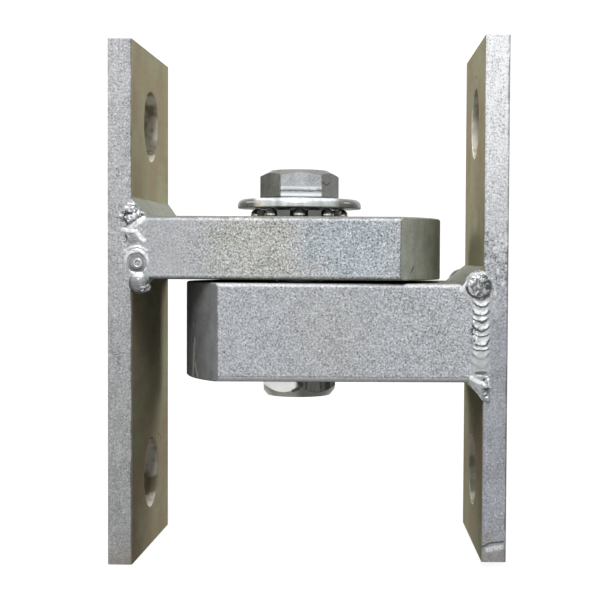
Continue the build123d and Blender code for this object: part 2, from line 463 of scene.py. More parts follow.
def plate_finish(name, leaf, tones, marks, notch=False):
    """Smooth olive broad faces and holes, rough bright edges, and the marks of use."""
    material, place = leaf_finish(name, leaf)
    x, y, z = parts_of(place)
    inner = abs(x - leaf.inner_x).below(FACE_SKIN)
    outer = abs(x - leaf.mounting_x).below(FACE_SKIN)
    middle_z = (leaf.plate_bottom + leaf.plate_top) / 2
    to_hole = distance(y, abs(z - middle_z), 0, HOLE_SPACING / 2)
    broad = inner.at_least(outer, to_hole.below(HOLE_RADIUS + FACE_SKIN))

    clouds = noise(place, 9)
    grain = coarse_grain(place)
    edge = sawn_edge(leaf, place, clouds, grain, *tones)
    if notch:
        across = abs(x - leaf.inner_x)
        # A painted highlight on the notch's lit side.
        lit = strokes(across, z, NOTCH_LIT) * ease(grain, 0.3, 0.55)
        cut = strokes(across, z, NOTCH_LINES)
        edge = layered(edge, (lit * 0.8, (246, 248, 250)), (cut * 0.85, (50, 50, 50)))

    drift = noise(place, 26, detail=2)
    smears = noise(stretched(place, (1, 0.25, 1)), 4, detail=4)
    dust = noise(place, 0.9, detail=4, roughness=0.7)
    olive = blend(ease(drift, 0.35, 0.65), OLIVE_WARM, OLIVE_GREEN)
    olive = scaled_colour(olive, smears.sway(0.3) + dust.sway(0.5) + 1)
    # Painted shade: a dark ring on one half of each hole's rim. Painted glints along the rims.
    ring = bow(to_hole, HOLE_RADIUS, 0.6) * ease(y, -8, 8)
    glint = bow(to_hole, HOLE_RADIUS - 0.05, 0.3) * ease(clouds, 0.42, 0.6)
    front_line = ease(y * leaf.front, leaf.half_width - 0.7, leaf.half_width - 0.2)
    olive = layered(olive, (ring * 0.5, (90, 82, 66)), (glint * 0.8, (240, 236, 224)))
    olive = layered(olive, (front_line * 0.6, (60, 56, 44)))
    for mark_y, mark_z, size in marks:
        gap = distance(y, z, mark_y, mark_z) + dust.sway(size)
        olive = layered(olive, (ease(gap, size, size * 0.5) * 0.85, (50, 42, 34)))

    rough_edge = metal(edge, 0.42 + grain.sway(0.3), pitted(place), 0.15)
    soft_bump = uneven(smears + dust * 0.4, 0.35, 0.05)
    flat_face = metal(olive, 0.6 + drift.sway(0.2), soft_bump, 0, matt=True)
    show(mixed(broad, rough_edge, flat_face))
    return material


# The edge's low tone, its high tone of painted light from above, where that painted light starts
# to climb, its dark corner line and the weld's spatter.
post_tones = ((164, 165, 165), (196, 197, 200), post.plate_bottom, (post.inner_x, 0.6), 0.25)
gate_tones = ((168, 171, 178), (250, 252, 254), -24, (gate.mounting_x, 0.9), 1)
# Each mark's y, z and size.
post_marks = [(-13, -67.5, 0.9), (3, -60.2, 0.7), (16, -58, 0.8)]
post_marks += [(20, -60, 0.6), (12, -66, 0.5)]
gate_marks = [(5, 92, 1.1), (-12, 40, 0.6), (10, -50, 0.7)]
dress("post_plate", plate_finish("post_plate_zinc", post, post_tones, post_marks))
dress("gate_plate", plate_finish("gate_plate_zinc", gate, gate_tones, gate_marks, notch=True))
print("plates dressed")

# %% [markdown]
# The arms
#
# The arms are solid bar with a coarse grain on their long faces, with painted glints and painted
# lines of light and shade along their rounded edges, and a nose cut to an arc whose smooth face is
# darker and painted in shade where it turns away. The nose is found by its distance from the arc's
# centre line.
# Their top and bottom faces are dull and olive, like the broad faces of the plates.

# %% Finish of the arms
NOSE_SKIN = 0.3
EDGE_ROUNDING = 1.9


def patch(x, z, middle_x, middle_z, half_x, half_z, ragged):
    """1 inside an oval of a long face and 0 well outside it, with a ragged rim."""
    inside = oval(x, z, middle_x, middle_z, half_x, half_z)
    return ease(1 - inside + ragged.sway(3), 1.6, 0.2)


def long_face(leaf, place, clouds, grain, tones, contrast, calm_share, lines):
    """The colour of an arm's long faces: patches, grain, painted glints and painted lines of light
    and shade.
    """
    x, y, z = parts_of(place)
    tone, warm, cool = tones
    middle_z = (leaf.arm_bottom + leaf.arm_top) / 2
    base = layered(
        colour(*tone),
        (patch(x, z, -14, middle_z, 17, 17, clouds) * 0.8, warm),
        (patch(x, z, 24, middle_z, 20, 13, clouds) * 0.8, cool),
    )
    calm = ease(x + clouds.sway(16), -46, -26) * (1 - calm_share) + calm_share
    base = scaled_colour(base, 1 + (clouds.sway(0.3) + grain.sway(calm) * contrast))
    # Painted glints: patches and fine cells of near-white, as if the grain caught a lamp.
    glint_patches = ease(noise(place, 1.1, detail=2, warp=0.8), 0.66, 0.7)
    glint_patches = glint_patches * ease(clouds, 0.42, 0.55)
    fine_glints = glint_cells(place, 0.5, 0.06) * calm * 0.5
    base = layered(base, (fine_glints, PAINTED_GLINT), (glint_patches * calm * 0.7, PAINTED_GLINT))
    # Painted highlight and shade lines along the rounded top and bottom edges.
    by_edge = abs(y).above(leaf.half_width - EDGE_ROUNDING)
    for level, half, shine, share in lines:
        line = ease(abs(z - level) + clouds.sway(half), half, half * 0.4) * by_edge
        base = layered(base, (line * (0.55 + grain * 0.6) * share, shine))
    # Painted shade: a dark line at the corner where the long face meets the nose.
    on_side = abs(y).above(leaf.half_width - 0.25)
    corner = ease(abs(x - leaf.corner_x) + clouds.sway(0.8), 0.7, 0.2) * on_side
    return layered(base, (corner * 0.75, (80, 82, 80)))


def arm_finish(name, leaf, face, nose_tone, scratches, shine):
    """Long faces with painted glints, a darker scratched nose with painted shade, and dull faces
    above and below.
    """
    material, place = leaf_finish(name, leaf)
    x, y, z = parts_of(place)
    grain = coarse_grain(place)
    clouds = noise(place, 7)
    base = long_face(leaf, place, clouds, grain, *face)

    streaks = noise(stretched(place, (1, 1, 0.1)), 2.5)
    mottle = noise(place, 5, detail=4)
    shade = streaks.sway(0.4) + mottle.sway(0.8) + grain.sway(1.3)
    # Painted shade: the nose darkens where it turns away from the front.
    turned_away = ease(y * leaf.front, leaf.half_width - 3, 6)
    nose_base = scaled_colour(colour(*nose_tone), 1 + shade)
    nose_base = layered(nose_base, (turned_away * 0.55, (30, 31, 32)))
    for scratch in scratches:
        mark = stroke(y, z, *scratch) * ease(mottle, 0.35, 0.5)
        nose_base = layered(nose_base, (mark * 0.8, shine))

    bump = pitted(place)
    side = metal(base, 0.45 + grain.sway(0.3), bump, 0.15)
    level = abs(z - leaf.arm_top).at_most(abs(z - leaf.arm_bottom))
    shade = 1 + mottle.sway(0.6) + grain.sway(1.2)
    flat = metal(scaled_colour(colour(144, 145, 132), shade), 0.6, bump, 0, matt=True)
    bar = mixed(level.below(0.2), side, flat)
    nose_face = metal(nose_base, 0.5, uneven(streaks + mottle * 0.5, 0.4, 0.06), 0.2)
    arc = ((x - (leaf.tip_x - leaf.nose_radius)) ** 2 + y**2) ** 0.5
    nose = arc.above(leaf.nose_radius - NOSE_SKIN) * x.above(leaf.corner_x)
    show(mixed(nose, bar, nose_face))
    return material


# BRIGHT and PALE paint edge highlights and DARK edge shade; DARK and PALE also colour scratches.
BRIGHT, DARK, PALE = (238, 241, 242), (60, 62, 60), (205, 206, 202)
# Each painted highlight or shade line along the edges: its height, half width, colour and strength.
upper_painted_edge_lines = [
    (post.arm_top - 1.5, 0.6, BRIGHT, 0.3),
    (post.arm_top, 1.4, DARK, 0.8),
    (post.arm_bottom + 1.7, 0.5, BRIGHT, 0.5),
    (post.arm_bottom, 0.9, DARK, 0.8),
]
lower_painted_edge_lines = [
    (gate.arm_top - 0.6, 0.9, BRIGHT, 0.4),
    (gate.arm_bottom + 1.1, 0.8, PALE, 0.8),
    (gate.arm_bottom + 2.1, 0.3, DARK, 0.5),
    (gate.arm_bottom, 0.35, DARK, 0.7),
]
# Each scratch on a nose: its start and end in y and z, and its half width.
upper_scratches = [((-34, 12.2), (-32.6, 14.6), 0.5), ((-16, 13), (-13, 17), 0.5)]
lower_scratches = [((22, -29), (24, -14), 1.1), ((23.5, -14), (23, -8), 0.6)]
lower_scratches += [((24.5, -24), (27, -29), 0.9)]
# Each long face: its tone, warm and cool tone, the grain's contrast, its least, the painted edge
# lines.
upper_face = (((190, 192, 195), (194, 195, 187), (182, 192, 199)), 6, 0.45, upper_painted_edge_lines)
lower_face = (((188, 191, 196), (188, 190, 192), (189, 192, 198)), 4.6, 1.15, lower_painted_edge_lines)
upper = (upper_face, (172, 175, 163), upper_scratches, DARK)
lower = (lower_face, (142, 144, 144), lower_scratches, PALE)
dress("upper_arm", arm_finish("upper_arm_zinc", post, *upper))
dress("lower_arm", arm_finish("lower_arm_zinc", gate, *lower))
print("arms dressed")

# %% [markdown]
# The bolt set and the bearing
#
# The bolt, washer and nut have the thin, even zinc of bought fasteners. It is smooth enough to
# show the lamps, with faint turning lines. The head, nut and washer also have painted highlights,
# reflections and shade in their colour. The bearing's race, cage and balls are polished steel.
# The head and the nut share a rule for their chamfers: a cone rises or falls from a ring on the
# end face, so a point's distance from the axis tells whether it lies on the cone.

# %% Finish of the bolt set and the bearing
HEAD_TOP = 53.64
HEAD_BOTTOM = 42.34
HEAD_RING = 11.72
HEAD_SLOPE = 0.532
FRONT_MIDDLE_X = 1.7
NUT_BOTTOM = -38.4
NUT_RING = 13.05
NUT_SLOPE = 1.235
NICK = [((10.2, 48.4), (11.6, 47.4), 0.4), ((11.6, 47.4), (12.6, 48.2), 0.4)]
NUT_DARK_STROKES = [((0.9, -30.5), (2.2, -33), 1.7), ((-1, -35.6), (1.4, -34.6), 1)]


def head_nick_and_painted_light(base, place, stains, grain):
    """The bolt head's nick, and its painted light: shade, a highlight band and a shadow line."""
    x, y, z = parts_of(place)
    reach = distance(x, y, 0, 0)
    # The chamfer is painted darker, as shade.
    cone = z.above(HEAD_TOP - 0.2 - (reach - HEAD_RING) * HEAD_SLOPE)
    # Painted shade: the side faces are darker than the front.
    sides = ease(abs(x - FRONT_MIDDLE_X), 8.3, 8.5)
    front = 1 - sides
    # A painted highlight on the front face only: a bright band and the lower front, a dark line
    # under the band.
    ragged = z + stains.sway(0.8) + grain.sway(1.2)
    band = ease(abs(ragged - 46.1), 0.8, 0.2) * 0.45
    band = band.at_least(ease(ragged, 44.4, 43.4) * 0.7) * (0.6 + stains * 0.8)
    line = ease(abs(ragged - 44.9), 0.45, 0.1) * ease(grain, 0.3, 0.55)
    # A painted shadow along the head's lower edge.
    under = ease(z, HEAD_BOTTOM + 0.6, HEAD_BOTTOM + 0.2)
    base = layered(
        scaled_colour(base, 1 - sides * 0.35),
        (cone * 0.75, (92, 94, 84)),
        (band * front, (232, 238, 242)),
        (line * front, (80, 84, 88)),
        (under * 0.7, (52, 56, 58)),
        (strokes(x, z, NICK) * y.below(0) * 0.8, (46, 48, 40)),
    )
    return base, 0


def nut_marks_and_painted_light(base, place, stains, grain):
    """The nut's painted light: a bright left face, painted reflections and shade, dark strokes, its
    chamfer.
    """
    x, y, z = parts_of(place)
    reach = distance(x, y, 0, 0)
    over_cone = z - (NUT_BOTTOM + (reach - NUT_RING) * NUT_SLOPE)
    # Painted light: the left face is painted bright, as lit.
    left_face = ease(x + (stains * 3 + grain), 3.2, 1.6) * ease(x, -14.8, -13.6)
    smears = noise(stretched(place, (1, 1, 0.25)), 1.6)
    edge = ease(abs(over_cone) + grain.sway(0.6), 0.55, 0.15)
    base = layered(
        base,
        (left_face * (0.35 + stains), (250, 250, 246)),
        # Painted reflections: dark patches over the right half and pale ones further right.
        (ease(x, 1, 2) * ease(smears, 0.52, 0.42) * 0.7, (30, 30, 28)),
        (ease(x, 6, 11) * ease(smears, 0.5, 0.62) * 0.5, (205, 205, 196)),
        (over_cone.below(0.25) * 0.85, (196, 196, 182)),
        # Painted shade: a dark line at the chamfer's edge, stronger on the right.
        (edge * (0.25 + ease(x, -2, 3) * 0.5), (36, 36, 32)),
        (strokes(x, z, NUT_DARK_STROKES) * y.below(0) * 0.9, (22, 22, 20)),
        # Painted shade on the nut's left end.
        (ease(x, -14.2, -15) * 0.8, (60, 60, 56)),
    )
    return base, left_face * over_cone.above(0.25) * 0.55


def washer_painted_light(base, place, stains, grain):
    """The washer's rim: upright bands of painted reflection, a painted highlight spot, and painted
    shade on its ends.
    """
    x = parts_of(place)[0]
    bands = noise(stretched(place, (1, 1, 0.05)), 3)
    # A painted highlight spot, and painted shade on the ends that turn away.
    spot = ease(abs(x + 13.8) + stains.sway(2), 3.2, 0.8)
    ends = ease(abs(x) + stains.sway(3), 15, 18)
    base = scaled_colour(base, 0.9 + bands.sway(1.4))
    return layered(base, (spot * 0.9, (254, 250, 242)), (ends * 0.85, (88, 90, 86))), ends * -0.45


def fastener_finish(name, tone, roughness, wear, metallic, marking):
    """Even zinc with stains and faint turning lines, and each piece's own marks and painted light.

    The function given last gives the colour, with its painted highlights, reflections and shade,
    and how much more metallic the surface is there.
    """
    material, place = leaf_finish(name, post)
    stains = noise(place, 5, detail=4)
    grain = noise(place, 0.6, detail=4, roughness=0.7)
    rings = noise(stretched(place, (0.15, 0.15, 1)), 0.5, detail=2)
    shade = 1 + stains.sway(wear) + grain.sway(wear) * 1.6
    # The piece's own function adds its marks and its painted light and shade.
    base, polish = marking(scaled_colour(colour(*tone), shade), place, stains, grain)
    bump = uneven(grain * 0.6 + rings * 0.4, 0.5, 0.08)
    show(metal(base, roughness + stains.sway(0.2), bump, polish + metallic))
    return material


def bearing_finish(name, tone, roughness):
    """Polished steel under a film of grease."""
    material, place = leaf_finish(name, post)
    film = noise(place, 1.6, detail=4)
    base = scaled_colour(colour(*tone), 1 + film.sway(0.5))
    show(metal(base, roughness + film.sway(0.2), uneven(film, 0.3, 0.03), 1))
    return material


bolt_zinc = fastener_finish("bolt_zinc", (160, 162, 164), 0.34, 1, 0.65, head_nick_and_painted_light)
dress("hinge_bolt", bolt_zinc)
dress("jam_nut", fastener_finish("nut_zinc", (140, 140, 134), 0.3, 0.9, 0.3, nut_marks_and_painted_light))
dress("bearing_race", bearing_finish("race_steel", (118, 120, 118), 0.25))
cage_steel = bearing_finish("cage_steel", (112, 114, 111), 0.28)
ball_steel = bearing_finish("ball_steel", (190, 192, 192), 0.12)
for node in frame["nodes"]:
    if node.startswith("ball_"):
        dress(node, cage_steel if node == "ball_cage" else ball_steel)
print("bolt and bearing dressed")

# %% [markdown]
# The washer's rolled edge
#
# The washer was stamped from sheet, and its upper edge rolls over in a wide curve that the packed
# solid shows much smaller. A ring turned from a closed outline takes its place.

# %% The turned washer
WASHER_HOLE_RADIUS = 10.3
ROLL_ACROSS = 2.5
ROLL_DOWN = 2.7
LOWER_ROLL = 0.5
RING_STEPS = 160
ROLL_STEPS = 10
SHARP_ANGLE = math.radians(40)


def quarter(middle_r, middle_z, across, down, start):
    """Points on a quarter of an oval, from the start angle on, in degrees."""
    angles = [math.radians(start - 90 * i / ROLL_STEPS) for i in range(ROLL_STEPS + 1)]
    return [(middle_r + across * math.cos(a), middle_z + down * math.sin(a)) for a in angles]


def placed(name, data):
    """A new object of the scene, from a mesh, a lamp or a camera."""
    thing = bpy.data.objects.new(name, data)
    scene.collection.objects.link(thing)
    return thing


def turned(name, outline):
    """A closed outline of radius and height, in millimetres, turned round the bolt's axis."""
    points, faces = [], []
    count = len(outline)
    for i in range(RING_STEPS):
        turn = Matrix.Rotation(2 * math.pi * i / RING_STEPS, 4, "Z")
        points += [bolt_place @ turn @ Vector((r * MM, 0, z * MM)) for r, z in outline]
        after = (i + 1) % RING_STEPS
        for j in range(count):
            k = (j + 1) % count
            faces.append((i * count + j, i * count + k, after * count + k, after * count + j))
    mesh = bpy.data.meshes.new(name)
    mesh.from_pydata(points, [], faces)
    mesh.shade_smooth()
    mesh.set_sharp_from_angle(angle=SHARP_ANGLE)
    return placed(name, mesh)


rim_radius = (washer_high.x - washer_low.x) / 2 / MM
low, high = washer_low.z / MM, washer_high.z / MM
outline = [
    (WASHER_HOLE_RADIUS, low),
    (WASHER_HOLE_RADIUS, high),
    *quarter(rim_radius - ROLL_ACROSS, high - ROLL_DOWN, ROLL_ACROSS, ROLL_DOWN, 90),
    *quarter(rim_radius - LOWER_ROLL, low + LOWER_ROLL, LOWER_ROLL, LOWER_ROLL, 0),
]
washer = turned("turned_washer", outline)
washer_zinc = fastener_finish("washer_zinc", (206, 211, 213), 0.26, 0.5, 0.5, washer_painted_light)
washer.data.materials.append(washer_zinc)
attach(washer, "washer")
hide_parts("flat_washer")
print(washer.name, len(washer.data.vertices), "vertices")

# %% [markdown]
# The weld's finish
#
# Near a weld's rim the zinc is as grainy as the bar's, and on its core it is smooth and glossy.
# The weld trees leave three values on the mesh, which the finish reads as attributes: how far
# inside the rim a point is, how much painted shade it has in creases, hollows and under steps,
# with a few dark marks, and how much painted highlight.


# %% Finish of the welds
def weld_finish(name, leaf, grainy, smooth, shade_tone, roughness, metallic):
    """Grainy zinc at the rim, glossy zinc on the core, painted shade in creases and painted
    highlights.
    """
    material, place = leaf_finish(name, leaf)
    inside, crease, gleam = [
        place.board.add("ShaderNodeAttribute", output=2, attribute_name=value)
        for value in ("inside", "crease", "gleam")
    ]
    grain = noise(place, 0.7, detail=4, roughness=0.7)
    clouds = noise(place, 3)
    rim = scaled_colour(colour(*grainy), 1 + grain.sway(3))
    core = scaled_colour(colour(*smooth), 1 + clouds.sway(0.6) + grain.sway(0.6))
    base = blend(inside, rim, core)
    # Painted shade and painted highlights, from the values the weld trees leave.
    base = layered(base, (crease * (0.8 + clouds * 0.5), shade_tone), (gleam, (250, 252, 253)))
    dull = roughness + (1 - inside) * 0.2 + clouds.sway(0.2)
    show(metal(base, dull, uneven(grain, 0.6, 0.1), metallic))
    return material


# BRIGHT_WELD: a seam weld's grainy and smooth tones, painted shade tone, roughness, metallic;
# OLIVE_REST the fillets' rest.
BRIGHT_WELD = ((185, 188, 191), (188, 191, 193), (74, 76, 76), 0.26, 0.35)
OLIVE_REST = ((84, 82, 70), 0.55, 0.05)
print("weld finish ready")

# %% [markdown]
# Welds as height fields
#
# A weld's surface is a height over a flat sheet: a low run along the seam, a step for each frozen
# puddle, and lumps or craters where the torch stopped. A Geometry Nodes tree lifts a fine grid to
# that height, cuts away what lies outside the run, and closes the underside inside the metal. The
# rim comes out of the bar's face at a slant, so the weld flows into it.

# %% The weld tree
WELD_SINK = 0.15
MERGE_DISTANCE = 0.001
SIZE_INPUTS = ("Width", "Length", "Skin", "Rise", "Ripple Pitch", "Ripple Depth", "Arc")
CHOICE_INPUTS = ("Front", "Seed")


def weld_tree(name, surface, material):
    """A tree that raises a grid by surface(u, v, sizes), in millimetres, and closes it."""
    tree = bpy.data.node_groups.new(name, "GeometryNodeTree")
    tree.interface.new_socket("Geometry", in_out="OUTPUT", socket_type="NodeSocketGeometry")
    for size in SIZE_INPUTS + CHOICE_INPUTS:
        tree.interface.new_socket(size, in_out="INPUT", socket_type="NodeSocketFloat")
    for count in ("Columns", "Rows"):
        tree.interface.new_socket(count, in_out="INPUT", socket_type="NodeSocketInt")
    board = Board(tree)
    given = tree.nodes.new("NodeGroupInput")
    sizes = {s.name: Wire(s) for s in given.outputs if s.name}
    sockets = {"Size X": sizes["Width"], "Size Y": sizes["Length"]}
    sockets.update({"Vertices X": sizes["Columns"], "Vertices Y": sizes["Rows"]})
    sheet = board.add("GeometryNodeMeshGrid", sockets)
    u, v, _ = parts_of(board.add("GeometryNodeInputPosition"))
    # The surface gives the shape, the height, the painted shade and the painted highlight.
    shape, height, crease, gleam = surface(u, v, sizes)
    values = {"inside": ease(shape, 0, 0.6), "crease": crease, "gleam": gleam, "run": shape}
    for value_name, value in values.items():
        sockets = {"Geometry": sheet, "Name": value_name, "Value": value}
        sheet = board.add("GeometryNodeStoreNamedAttribute", sockets)
    sockets = {"Geometry": sheet, "Position": join(u, v, height)}
    lifted = board.add("GeometryNodeSetPosition", sockets)
    kept = board.add("GeometryNodeInputNamedAttribute", {"Name": "run"})
    sockets = {"Geometry": lifted, "Selection": kept.below(0)}
    run = board.add("GeometryNodeDeleteGeometry", sockets)
    # The offset has to be linked: unlinked, Extrude Mesh moves each face along its own normal.
    down = board.add("ShaderNodeCombineXYZ", {"Z": -1})
    sockets = {"Mesh": run, "Offset": down, "Offset Scale": sizes["Skin"], "Individual": False}
    under = board.add("GeometryNodeExtrudeMesh", sockets, mode="FACES")
    under = board.add("GeometryNodeFlipFaces", {"Mesh": under})
    both = board.add("GeometryNodeJoinGeometry", {"Geometry": [run, under]})
    sockets = {"Geometry": both, "Distance": MERGE_DISTANCE}
    closed = board.add("GeometryNodeMergeByDistance", sockets)
    smooth = board.add("GeometryNodeSetShadeSmooth", {"Geometry": closed})
    real = board.add("GeometryNodeRealizeInstances", {"Geometry": smooth})
    done = board.add("GeometryNodeSetMaterial", {"Geometry": real, "Material": material})
    board.add("NodeGroupOutput", {"Geometry": done})
    return tree


def grow(name, tree, sizes):
    """Runs a tree with the given input sizes and keeps what it makes as a plain mesh."""
    piece = placed(name, bpy.data.meshes.new(name + "_start"))
    modifier = piece.modifiers.new("tree", "NODES")
    modifier.node_group = tree
    for socket in tree.interface.items_tree:
        if socket.name in sizes:
            modifier[socket.identifier] = sizes[socket.name]
    depsgraph = bpy.context.evaluated_depsgraph_get()
    mesh = bpy.data.meshes.new_from_object(piece.evaluated_get(depsgraph), depsgraph=depsgraph)
    piece.modifiers.remove(modifier)
    piece.data = mesh
    mesh.name = name
    return piece


def settle(piece, axes, origin, leaf, node):
    """Moves a mesh made in millimetres to its place on a leaf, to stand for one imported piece."""
    across, along, out = (Vector(a) for a in axes)
    place = Matrix((across, along, out)).transposed().to_4x4()
    place = Matrix.Scale(MM, 4) @ Matrix.Translation(origin) @ place
    piece.data.transform(leaf.frame @ place)
    if place.determinant() < 0:
        piece.data.flip_normals()
    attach(piece, leaf.body)
    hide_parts(node)
    print(piece.name, len(piece.data.vertices), "vertices")


def seam_welds(leaf, surface, sizes, front_seed, back_seed):
    """A leaf's two seam welds: the shown one in front, and a plainer one behind."""
    finish = weld_finish(leaf.name + "_weld_zinc", leaf, *BRIGHT_WELD)
    tree = weld_tree(leaf.name + "_seam", surface, finish)
    for side, seed, front in (("front", front_seed, 1.0), ("back", back_seed, 0.0)):
        own = {"Seed": seed, "Front": front}
        piece = grow(f"{leaf.name}_seam_{side}", tree, {**sizes, **own})
        out = leaf.front if side == "front" else -leaf.front
        origin = Vector((leaf.inner_x, out * leaf.half_width, leaf.arm_top))
        axes = ((1, 0, 0), (0, 0, 1), (0, out, 0))
        settle(piece, axes, origin, leaf, f"{leaf.name}_weld_{side}")


print("weld tree ready")

# %% [markdown]
# Ripples and lumps on the sheet
#
# A puddle's step rises slowly on the way down the seam and drops at its lower edge, so the light
# from above catches it, and a dark line under it is painted as shade. The lumps are the cells of a
# warped cell pattern, so that no two are alike, with shade painted in the creases where the cells
# meet.


# %% Ripples and lumps
def scattered(u, v, sizes, size, detail=2):
    """Noise over the sheet that changes with the weld's seed."""
    return noise(join(u, v, sizes["Seed"]), size, detail=detail)


def ripples(u, v, sizes, middle_u, sign):
    """The step of each puddle, 0 to 1, and a mask for the painted shade line under it."""
    drift = scattered(0, v, sizes, 5, detail=1)
    wobble = scattered(u, v, sizes, 2.4)
    phase = v + sizes["Arc"] * ((u - middle_u) ** 2) * sign
    phase = phase + drift.sway(4) + wobble.sway(1.6)
    part = (phase / sizes["Ripple Pitch"]).fraction()
    return (1 - part) * ease(part, 0, 0.12), ease(part, 0.68, 0.9)


def crumbs(u, v, sizes, size):
    """Crumbly lumps: their height, 0 to 1, and a mask of the creases between them, for painted
    shade.
    """
    bend = scattered(u, v, sizes, size * 0.9).sway(size) * 1.6
    turn = scattered(v, u, sizes, size * 1.1).sway(size) * 1.6
    reach = cells(join(u + bend, v + turn, sizes["Seed"]), size, 0)
    rise = (1 - (reach / 0.8) ** 2).at_least(0) ** 0.5
    return rise, ease(reach, 0.5, 0.72)


print("ripples and lumps ready")

# %% [markdown]
# The weld on the post leaf's seam
#
# From the front it starts in a heap of glossy lumps at the arm's top corner. Two bright streaks
# leave the heap, then come a small dark pore, a pair of arcs round a shallow crater with an eye in
# it, and a round knob that hangs below the arm. Highlights are painted on the lumps' tips, the
# streaks, the arcs, the eye's rim and a crescent on the knob, and shade is painted in the creases,
# the crater, the pore, under the streaks and on the knob's lower side. Places on the sheet are
# across the seam, u, and along it, v, from the arm's top corner.

# %% Post leaf seam
HIDDEN = 9.0  # taken from a shape's value, it leaves nothing of the shape
# HEAP_TIPS are painted highlights, UNDER_STREAKS painted shade, KNOB_CRESCENT a painted highlight.
HEAP_TIPS = [(0.4, 4.4, 1.1), (-2.9, 1.8, 1), (-0.9, -0.4, 0.9)]
HEAP_TIPS += [(-3, -2.6, 0.9), (4.4, -0.8, 1)]
STREAKS = [((-4, -5.5), (1.8, -6.4), 1.1), ((1.8, -6.4), (4.9, -9.8), 1.3)]
STREAKS += [((4.6, -1.6), (-0.6, -5), 1.7)]
UNDER_STREAKS = [((-2.6, -4.2), (1.4, -4.9), 0.6), ((-0.6, -7.4), (2.6, -9.4), 0.6)]
KNOB = (2.7, -25.8, 3.8, 4.3)
KNOB_TAIL = (5, -27.6, 2.6, 1.9)
KNOB_CRESCENT = (2, -22.7, 3.2, 1.1)
PORE = (-2.9, -8.8, 1.5, 2.2)
CRATER = (1.9, -18.3)
CRATER_EYE = (2.3, -18.3)


def post_seam(u, v, sizes):
    """The post leaf's seam weld, with painted shade and highlights. Its knob and the crumbs by it
    show on the front only.
    """
    rim = scattered(u, v, sizes, 2.6).sway(0.7)
    rough = scattered(u, v, sizes, 1.3)
    lump, crease = crumbs(u, v, sizes, 2.7)
    middle = (v + 8).at_most(0) * -0.09 + 0.9
    end = (v - (post.arm_bottom - post.arm_top)) / 1.5 + sizes["Front"] * HIDDEN
    body = (run_between(u - middle, v, 0, -22, -2, 5) + rim).at_most(end)
    heap = 1 - abs(u + 0.1) / 5.4 - abs(v - 0.2) / 6.4 + rim * 0.5
    bare = (1 - sizes["Front"]) * HIDDEN
    knob = oval(u, v, *KNOB) + rim * 0.25 - bare
    tail = oval(u, v, *KNOB_TAIL) + rim - bare
    shape = body.at_least(heap, knob, tail)

    step, line = ripples(u, v, sizes, 1.5, 1)
    core = ease(body, 0, 0.9)
    height = core * (sizes["Rise"] + WELD_SINK) - WELD_SINK
    height = height + (step * sizes["Ripple Depth"] + rough.sway(0.4)) * core
    # dark collects the painted shade: under steps, in the crater, the pore, creases, on the knob's
    # lower side.
    dark = line * core * 0.3

    crater = distance(u, v + rough.sway(0.8), *CRATER)
    arcs = bow(crater, 4.6, 1.1) * ease(v, -19.5, -16.5)
    arcs = arcs + bow(crater, 6.2, 0.7) * ease(v, -16, -13.5) * 0.7
    arcs = arcs * ease(rough, 0.15, 0.38)
    bowl = ease(crater, 4.1, 3.5)
    eye = distance(u, v, *CRATER_EYE)
    pupil = ease(eye, 1, 0.75)
    height = height * (1 - bowl * 0.8) + arcs * 0.45 + bow(eye, 1.4, 0.5) * 0.35 - pupil * 0.3
    ring = bow(crater, 2.6, 0.5) * 0.25
    hollow = bowl * (0.35 + ring + ease(v, -18, -21.5) * 0.45)
    hollow = hollow * (1 - bow(eye, 1.4, 0.5))
    dark = (dark * (1 - bowl)).at_least(hollow, pupil * 1.8)
    gleam = (arcs * 0.8).at_least(bow(eye, 1.4, 0.4) * 0.5)

    dome = (knob.at_least(0) ** 0.5) * 2 + rough.sway(0.4) * ease(knob, 0, 0.3)
    height = height.at_least(dome - WELD_SINK)
    crescent = ease(oval(u, v, *KNOB_CRESCENT), 0, 0.5) * ease(rough, 0.3, 0.5)
    flank = ease(v, -23, -26.5) * 0.6 + ease(knob, 0.75, 0.2) * 0.35
    dark = dark.at_least(flank * ease(knob, 0, 0.1)) * (1 - crescent)

    streaks = strokes(u, v, STREAKS) * ease(rough, 0.15, 0.4)
    between = ease(oval(u, v, 0.4, -9.6, 2.6, 1.8), 0, 0.7)
    pore = ease(oval(u, v, *PORE) + rough - 0.5, 0, 0.4)
    height = height + streaks * 0.35 - pore * 0.25
    dark = dark.at_least(between * 0.45, strokes(u, v, UNDER_STREAKS) * 0.5, pore)
    dark = dark * (1 - streaks * 0.8)
    specks = ease(oval(u, v, -2.6, -13, 1.6, 2.2), 0, 0.4) * ease(rough, 0.5, 0.62)
    gleam = gleam.at_least(crescent * 0.85, streaks * 0.85, specks * 0.8)

    on_heap = ease(heap, 0, 0.15)
    on_tail = ease(tail, 0, 0.4)
    crumbly = on_heap.at_least(on_tail)
    height = height.at_least((lump * 1.2 + rough.sway(2.2) + 0.1) * crumbly - WELD_SINK)
    dark = dark.at_least(crease * crumbly, crumbly * ease(rough, 0.42, 0.34) * 0.7, on_tail * 0.45)
    gleam = gleam.at_least(on_heap * ease(lump + rough.sway(1.2), 0.82, 1) * 0.8)
    for tip_u, tip_v, radius in HEAP_TIPS:
        tip = ease(oval(u, v, tip_u, tip_v, radius, radius) + rough.sway(3), 0.3, 0.9)
        gleam = gleam.at_least(tip)
        dark = dark * (1 - tip)
    gleam = gleam.at_least(ease(tail, 0.1, 0.5) * ease(rough, 0.58, 0.66) * 0.6)
    return shape, height, dark, gleam


post_sizes = {"Width": 17.0, "Length": 66.0, "Columns": 122, "Rows": 470, "Skin": 0.6}
post_sizes.update({"Rise": 0.45, "Ripple Pitch": 3.4, "Ripple Depth": 0.2, "Arc": 0.12})
seam_welds(post, post_seam, post_sizes, front_seed=3.0, back_seed=8.0)

